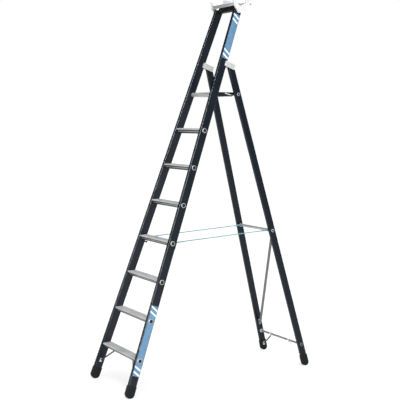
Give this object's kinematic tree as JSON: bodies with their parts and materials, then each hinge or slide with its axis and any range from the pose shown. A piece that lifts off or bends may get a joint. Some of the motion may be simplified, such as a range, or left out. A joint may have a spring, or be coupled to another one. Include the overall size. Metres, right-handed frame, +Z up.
{
  "type": "step ladder",
  "caption": "Free-standing step ladder with flanged treads, a platform that folds up between the stiles, hinged rear legs, holding straps and a tool tray on top.",
  "frame": {"origin": "on the floor, in the middle of the four feet of the open ladder", "axes": "+Z up, -Y the climbing side, +Y the rear legs, +X to the climber's right"},
  "size_m": [0.5598, 1.5125, 2.668],
  "materials": {
    "rail_anthracite": "extruded tube with a satin anthracite coating",
    "head_plastic": "moulded, fine grain",
    "tread_aluminium": "mill finish, ribbed",
    "foot_rubber": "matt moulded rubber",
    "strut_zinc": "zinc plated rod",
    "bright_zinc": "bright zinc plate",
    "tray_aluminium": "mill finish",
    "white_plastic": "moulded, fine grain",
    "label_film": "printed self-adhesive film",
    "strap_webbing": "woven webbing",
    "bar_aluminium": "drawn tube, mill finish",
    "platform_aluminium": "ribbed extrusion",
    "side_plastic": "moulded, satin"
  },
  "bodies": {
    "front_frame": {"front_stile_left": "rail_anthracite", "front_stile_right": "rail_anthracite", "tread_1": "tread_aluminium", "tread_2": "tread_aluminium", "tread_3": "tread_aluminium", "tread_4": "tread_aluminium", "tread_5": "tread_aluminium", "tread_6": "tread_aluminium", "tread_7": "tread_aluminium", "front_foot_left": "foot_rubber", "front_foot_right": "foot_rubber", "front_strut_left": "strut_zinc", "front_strut_right": "strut_zinc", "front_strut_tabs": "bright_zinc", "top_crossbar": "rail_anthracite", "tray_pan": "tray_aluminium", "tray_front_rail": "tray_aluminium", "tray_cap_left": "white_plastic", "tray_cap_right": "white_plastic", "tray_cap_screws": "bright_zinc", "hinge_bracket_left": "white_plastic", "hinge_bracket_right": "white_plastic", "hinge_bracket_rivets": "bright_zinc", "hinge_pin_left": "bright_zinc", "hinge_pin_right": "bright_zinc", "platform_pivot_left": "bright_zinc", "platform_pivot_right": "bright_zinc", "label_lower_left": "label_film", "label_lower_right": "label_film", "label_upper_left": "label_film", "label_upper_right": "label_film", "strap_anchor_left": "bright_zinc", "strap_anchor_right": "bright_zinc", "strap_left": "strap_webbing", "strap_right": "strap_webbing"},
    "rear_frame": {"rear_leg_left": "rail_anthracite", "rear_leg_right": "rail_anthracite", "rear_leg_head_left": "head_plastic", "rear_leg_head_right": "head_plastic", "rear_foot_left": "foot_rubber", "rear_foot_right": "foot_rubber", "platform_support_tube": "bar_aluminium", "upper_rear_bar": "bar_aluminium", "lower_rear_bar": "bar_aluminium", "diagonal_brace": "bar_aluminium", "diagonal_brace_rivets": "bright_zinc", "rear_strut_left": "strut_zinc", "rear_strut_right": "strut_zinc", "rear_strut_tabs": "bright_zinc"},
    "platform": {"platform_deck": "platform_aluminium", "platform_nose": "platform_aluminium", "platform_side_left": "side_plastic", "platform_side_right": "side_plastic", "platform_latch_plates": "bright_zinc"}
  },
  "joints": [
    {"name": "frame_fold", "type": "hinge", "parent": "front_frame", "child": "rear_frame", "pos_m": [0, 0.13903, 2.17956], "axis": [-1, 0, 0], "range_deg": [0, 35.5], "deforming": ["strap_left", "strap_right"]},
    {"name": "platform_tilt", "type": "hinge", "parent": "front_frame", "child": "platform", "pos_m": [0, 0.00649, 1.9855], "axis": [1, 0, 0], "range_deg": [0, 69.85]}
  ],
  "couplings": [
    {"joint": "platform_tilt", "follows": "frame_fold", "ratio": 1.966}
  ]
}
